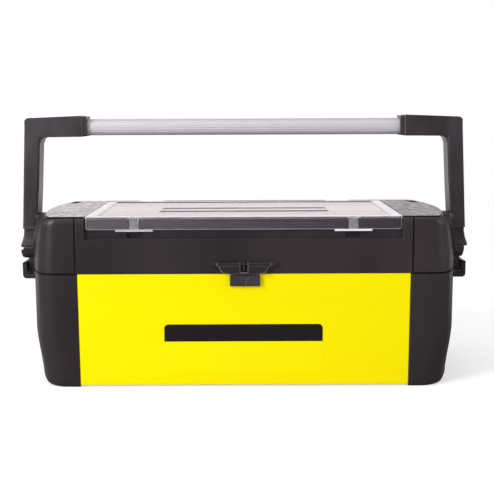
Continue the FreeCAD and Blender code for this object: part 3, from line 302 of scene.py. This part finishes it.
coverZones = [
    # painted highlight: the border is painted pale
    coverZone(0.0016, 0.2356, "border", "border", {"colour": (0.99, 0.97, 0.98), "transmission": 0.55}),
    coverZone(0.0152, 0.0821, "panel", "panel", {"colour": (0.82, 0.76, 0.74), "transmission": 0.94}),
    coverZone(0.0821, 0.1546, "panel", "panel", {"colour": (0.95, 0.89, 0.87), "transmission": 0.88}),
    coverZone(0.1546, 0.2154, "panel", "panel", {"colour": (0.79, 0.73, 0.72), "transmission": 0.94}),
    coverZone(0.1536, 0.1556, "soft", "panel", paintedSoftShadeLine),
    coverZone(0.0811, 0.0831, "soft", "panel", paintedSoftShadeLine),
    coverZone(0.0804, 0.0826, "rib", "rib", paintedShadeLine),
    coverZone(0.1219, 0.1241, "rib", "rib", paintedShadeLine),
    coverZone(0.2121, 0.2168, "panel", "panel", paintedShadeLine, above=-0.0002),
]
clearCover = {"colour": (0.89, 0.86, 0.965), "transmission": 0.99, "paintedEdgeColour": (0.97, 0.96, 0.98),
              "edgeTransmission": 0.15, "ior": 1.52, "roughness": (0.02, 0.06), "flowScale": 30.0,
              "flowStrength": 0.12, "flowDepth": 0.0004, "edgeRadius": 0.0015, "paintedPaleLeft": (0.955, 1.0),
              "paleBeyond": coverHigh.x - 0.0029, "paleShare": 0.80, "zones": coverZones}


# clips: the lip below the cover's lower edge is painted paler than the strip above it, a painted highlight,
# and the right lip is painted nearly opaque white

clipLip = {"margin": 0.0009, "colour": (0.95, 0.95, 0.97), "roughness": 0.25}


def lipZone(clip, transmission):
    low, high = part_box(clip)
    margin = clipLip["margin"]
    return {"low": (low.x - margin, low.y - margin, low.z - margin),
            "high": (high.x + margin, high.y + margin, coverLow.z),
            "colour": clipLip["colour"], "transmission": transmission, "roughness": clipLip["roughness"]}


frostedClip = {"colour": (0.88, 0.88, 0.91), "transmission": 0.82, "paintedEdgeColour": (0.97, 0.97, 0.98),
               "edgeTransmission": 0.10, "ior": 1.49, "roughness": (0.08, 0.30), "flowScale": 260.0,
               "flowStrength": 0.35, "flowDepth": 0.0004, "edgeRadius": 0.0010,
               "zones": [lipZone("clip_left", 0.60), lipZone("clip_right", 0.05)]}


# metals

brushing = {"detail": 4.0, "span": (0.3, 0.7), "depth": 0.00004, "cloudScale": 22.0, "cloudDetail": 3.0,
            "bandBlend": 0.004}


def brushedMetal(name, look):
    material, tree, shader = newMaterial(name)
    brush = objectNoise(tree, look["brushScale"], brushing["detail"], look["brushStretch"])
    cloud = objectNoise(tree, brushing["cloudScale"], brushing["cloudDetail"])
    colour = mixColour(tree, cloud, look["colour"], look["cloudColour"])
    if "unshadedBand" in look:
        # painted shade: the bar is painted darker above the band, on its top, and below it, on its underside
        unshaded = within(tree, along(tree, "Z"), *look["unshadedBand"], brushing["bandBlend"])
        colour = mixColour(tree, unshaded, look["sheenAndShadeColour"], colour)
    tree.links.new(colour, shader.inputs["Base Color"])
    shader.inputs["Metallic"].default_value = look["metallic"]
    rough = remap(tree, brush, *brushing["span"], *look["roughness"])
    tree.links.new(rough, shader.inputs["Roughness"])
    bump = addNode(tree, "ShaderNodeBump", Strength=look["brushStrength"], Distance=brushing["depth"],
                   Height=brush)
    tree.links.new(bump.outputs["Normal"], shader.inputs["Normal"])
    return material


barMetal = {"colour": (0.72, 0.70, 0.745), "cloudColour": (0.68, 0.66, 0.70), "brushScale": 900.0,
            "brushStretch": (0.02, 1.0, 1.0), "roughness": (0.46, 0.60), "brushStrength": 0.25,
            "metallic": 0.25, "unshadedBand": (barLow.z + 0.0054, barHigh.z - 0.0051),
            "sheenAndShadeColour": (0.48, 0.465, 0.50)}
darkPin = {"colour": (0.10, 0.10, 0.105), "cloudColour": (0.07, 0.07, 0.075), "brushScale": 1500.0,
           "brushStretch": (0.2, 1.0, 1.0), "roughness": (0.35, 0.50), "brushStrength": 0.2, "metallic": 1.0}
pinMetal = {"colour": (0.62, 0.62, 0.63), "cloudColour": (0.52, 0.52, 0.54), "brushScale": 1500.0,
            "brushStretch": (0.2, 1.0, 1.0), "roughness": (0.24, 0.40), "brushStrength": 0.2,
            "metallic": 1.0}


# label film: yellow field with a plain black band along the top

labelLook = {"bandBottom": labelTop - 0.0245, "field": (0.990, 0.880, 0.0012),
             "fieldCloud": (0.985, 0.850, 0.0010), "ink": (0.014, 0.011, 0.012),
             "inkCloud": (0.019, 0.016, 0.017), "cloudScale": 12.0, "cloudDetail": 3.0,
             "cloudSpan": (0.3, 0.7), "roughness": (0.28, 0.38), "specular": 0.06}


def labelFilm(name, look):
    material, tree, shader = newMaterial(name)
    band = maths(tree, "GREATER_THAN", along(tree, "Z"), look["bandBottom"])
    cloud = objectNoise(tree, look["cloudScale"], look["cloudDetail"])
    field = mixColour(tree, cloud, look["field"], look["fieldCloud"])
    ink = mixColour(tree, cloud, look["ink"], look["inkCloud"])
    tree.links.new(mixColour(tree, band, field, ink), shader.inputs["Base Color"])
    rough = remap(tree, cloud, *look["cloudSpan"], *look["roughness"])
    tree.links.new(rough, shader.inputs["Roughness"])
    shader.inputs["Specular IOR Level"].default_value = look["specular"]
    return material


# which finish each node wears

finishLooks = {
    "black end cover plastic": (mouldedPlastic, blackEnd),
    "black shell plastic": (mouldedPlastic, blackShell),
    "black latch plastic": (mouldedPlastic, blackLatch),
    "black end plastic": (mouldedPlastic, blackTub),
    "black arm plastic": (mouldedPlastic, blackArm),
    "black tray plastic": (mouldedPlastic, blackTray),
    "grey divider plastic": (mouldedPlastic, greyDivider),
    "yellow tub plastic": (mouldedPlastic, yellowTub),
    "clear cover plastic": (clearPlastic, clearCover),
    "frosted clip plastic": (clearPlastic, frostedClip),
    "drawn aluminium": (brushedMetal, barMetal),
    "zinc plated steel": (brushedMetal, pinMetal),
    "blackened steel": (brushedMetal, darkPin),
    "label film": (labelFilm, labelLook),
}
finishes = {name: makeFinish(name, look) for name, (makeFinish, look) in finishLooks.items()}

binDividers = ["bin_divider_%d" % number for number in range(1, 6)]
trayDividers = ["tray_divider_%d" % number for number in range(1, 5)]
nodeFinish = {
    "yellow tub plastic": ["tub"],
    "black end plastic": ["tub_end_cap_right", "tub_end_cap_left"],
    "black end cover plastic": ["lid_end_right", "lid_end_left"],
    "black shell plastic": ["lid_shell"],
    "black latch plastic": ["latch_flap"],
    "black arm plastic": ["handle_arm_right", "handle_arm_left", "strike_block"],
    "black tray plastic": ["tray"],
    "grey divider plastic": binDividers + trayDividers + ["pivot_washers"],
    "clear cover plastic": ["cover"],
    "frosted clip plastic": ["clip_right", "clip_left"],
    "drawn aluminium": ["handle_bar"],
    "zinc plated steel": ["tub_cap_screws", "lid_end_screws", "rear_hinge_pins", "cover_hinge_pins",
                          "clip_pins", "bar_screws", "pivot_bolt_right", "pivot_bolt_left"],
    "blackened steel": ["latch_pin"],
    "label film": ["front_label"],
}
for finish, names in nodeFinish.items():
    for name in names:
        mesh = nodes[name].data
        mesh.materials.clear()
        mesh.materials.append(finishes[finish])
print("tool box: %d finishes on the nodes" % len(finishes))


# camera, fitted to the edges of the box in the photograph: angles in radians, focal and width in pixels

camera = {"place": (0.00435, -1.3507, 0.3791), "pitch": 0.1429, "roll": -0.0040, "focal": 906.66,
          "width": 494, "sensor": 36.0, "farEnd": 30.0}
lens = bpy.data.cameras.new("camera")
lens.sensor_width = camera["sensor"]
lens.lens = camera["focal"] * camera["sensor"] / camera["width"]
lens.clip_end = camera["farEnd"]
eye = bpy.data.objects.new("camera", lens)
pitch, roll = camera["pitch"], camera["roll"]
right = Vector((1.0, 0.0, 0.0))
up = Vector((0.0, math.sin(pitch), math.cos(pitch)))
ahead = Vector((0.0, math.cos(pitch), -math.sin(pitch)))
rolledRight = right * math.cos(roll) + up * math.sin(roll)
rolledUp = up * math.cos(roll) - right * math.sin(roll)
turned = Matrix((rolledRight, rolledUp, -ahead)).transposed()
eye.matrix_world = Matrix.Translation(camera["place"]) @ turned.to_4x4()
bpy.context.scene.collection.objects.link(eye)
bpy.context.scene.camera = eye


# floor that sweeps up into the backdrop, and the light around it: places and spans in metres, except the two
# sky spans, which are directions

studio = {"front": -4.0, "back": 2.6, "bend": 1.4, "bendSteps": 24, "top": 4.5, "half": 6.0, "across": 24,
          "colour": (0.76, 0.755, 0.76), "roughness": 0.9, "specular": 0.1, "glow": 0.47,
          "worldLight": 0.47, "seen": 1.30, "room": 0.13, "roomLeft": 0.38, "flank": 0.12,
          "reflected": (1.0, 0.940, 0.950, 1.0), "white": (1.0, 1.0, 1.0, 1.0),
          "floorSides": (-0.7, 0.2), "floorFlanks": (0.9, 1.5), "floorDepth": (0.2, 1.6),
          "skySides": (-0.6, 0.3), "skyDepth": (-0.35, 0.45)}


def sweepMesh(name, profile, half, across):
    # grid: profile points along Y and Z, carried straight along X
    profile = np.array(profile, float)
    xs = np.linspace(-half, half, across)
    grid = np.zeros((len(xs), len(profile), 3))
    grid[:, :, 0] = xs[:, None]
    grid[:, :, 1:] = profile[None, :, :]
    rows, columns = len(xs), len(profile)
    first = (np.arange(rows - 1)[:, None] * columns + np.arange(columns - 1)[None, :]).ravel()
    faces = np.stack([first, first + columns, first + columns + 1, first + 1], 1)
    mesh = bpy.data.meshes.new(name)
    mesh.from_pydata(grid.reshape(-1, 3).tolist(), [], faces.tolist())
    mesh.polygons.foreach_set("use_smooth", [True] * len(mesh.polygons))
    return bpy.data.objects.new(name, mesh)


def paleFloor(name, look):
    # reflections see a dim room in front of the box, lighter on the left, and the white backdrop behind it
    material, tree, shader = newMaterial(name)
    shader.inputs["Roughness"].default_value = look["roughness"]
    shader.inputs["Specular IOR Level"].default_value = look["specular"]
    path = tree.nodes.new("ShaderNodeLightPath")
    mirrorRay = path.outputs["Is Glossy Ray"]
    room = remap(tree, along(tree, "X"), *look["floorSides"], look["roomLeft"], look["room"])
    flanks = remap(tree, fromMiddle(tree), *look["floorFlanks"], 1.0, look["flank"])
    depth = remap(tree, along(tree, "Y"), *look["floorDepth"], room, look["seen"])
    mirrored = maths(tree, "MULTIPLY", flanks, depth)
    seen = maths(tree, "MULTIPLY", path.outputs["Is Camera Ray"], look["glow"])
    glow = maths(tree, "ADD", seen, maths(tree, "MULTIPLY", mirrorRay, mirrored))
    base = mixColour(tree, mirrorRay, look["colour"], (0.0, 0.0, 0.0))
    tree.links.new(base, shader.inputs["Base Color"])
    shine = mixColour(tree, mirrorRay, look["white"], look["reflected"])
    tree.links.new(shine, shader.inputs["Emission Color"])
    tree.links.new(glow, shader.inputs["Emission Strength"])
    return material


def studioWorld(name, look):
    # even light, the room again for reflections, and white for the camera and through clear plastic
    world = bpy.data.worlds.new(name)
    world.use_nodes = True
    tree = world.node_tree
    clearTree(tree)
    path = tree.nodes.new("ShaderNodeLightPath")
    coordinates = addNode(tree, "ShaderNodeTexCoord")
    parts = addNode(tree, "ShaderNodeSeparateXYZ", Vector=coordinates.outputs["Generated"])
    room = remap(tree, parts.outputs["X"], *look["skySides"], look["roomLeft"], look["room"])
    facing = remap(tree, parts.outputs["Y"], *look["skyDepth"], room, look["seen"])
    light = addNode(tree, "ShaderNodeBackground", Color=look["white"], Strength=look["worldLight"])
    mirrored = addNode(tree, "ShaderNodeBackground", Color=look["reflected"], Strength=facing)
    backdrop = addNode(tree, "ShaderNodeBackground", Color=look["white"], Strength=look["seen"])
    through = maths(tree, "MAXIMUM", path.outputs["Is Camera Ray"], path.outputs["Is Transmission Ray"])
    mixed = addNode(tree, "ShaderNodeMixShader", Fac=path.outputs["Is Glossy Ray"], i1=light.outputs[0],
                    i2=mirrored.outputs[0])
    mixed = addNode(tree, "ShaderNodeMixShader", Fac=through, i1=mixed.outputs[0], i2=backdrop.outputs[0])
    output = tree.nodes.new("ShaderNodeOutputWorld")
    tree.links.new(mixed.outputs[0], output.inputs["Surface"])
    return world


turn = np.linspace(0.0, math.pi / 2.0, studio["bendSteps"])
bendY = studio["back"] - studio["bend"] + studio["bend"] * np.sin(turn)
bendZ = studio["bend"] - studio["bend"] * np.cos(turn)
profile = [(studio["front"], 0.0)] + list(zip(bendY, bendZ)) + [(studio["back"], studio["top"])]
floor = sweepMesh("floor", profile, studio["half"], studio["across"])
bpy.context.scene.collection.objects.link(floor)
floor.data.materials.append(paleFloor("pale floor", studio))
bpy.context.scene.world = studioWorld("studio light", studio)


# soft lamps: places and sizes in metres, power in watts

lamps = {
    "top lamp": {"place": (0.0, 0.1, 1.9), "target": (0.0, 0.0, 0.2), "size": (2.2, 1.6), "power": 7.0},
    "left lamp": {"place": (-1.7, -1.5, 1.2), "target": (0.0, 0.0, 0.2), "size": (0.9, 1.6), "power": 42.0},
    "right lamp": {"place": (2.1, -1.0, 0.8), "target": (0.3, -0.1, 0.2), "size": (0.25, 0.9), "power": 8.0},
}


def softLamp(name, look):
    lamp = bpy.data.lights.new(name, "AREA")
    lamp.shape = "RECTANGLE"
    lamp.size, lamp.size_y = look["size"]
    lamp.energy = look["power"]
    holder = bpy.data.objects.new(name, lamp)
    holder.location = look["place"]
    holder.rotation_mode = "QUATERNION"
    aim = Vector(look["target"]) - Vector(look["place"])
    holder.rotation_quaternion = aim.to_track_quat("-Z", "Y")
    bpy.context.scene.collection.objects.link(holder)


for name, look in lamps.items():
    softLamp(name, look)
print("tool box: floor, light and camera set")

scene = bpy.context.scene
scene.view_settings.view_transform = "Standard"
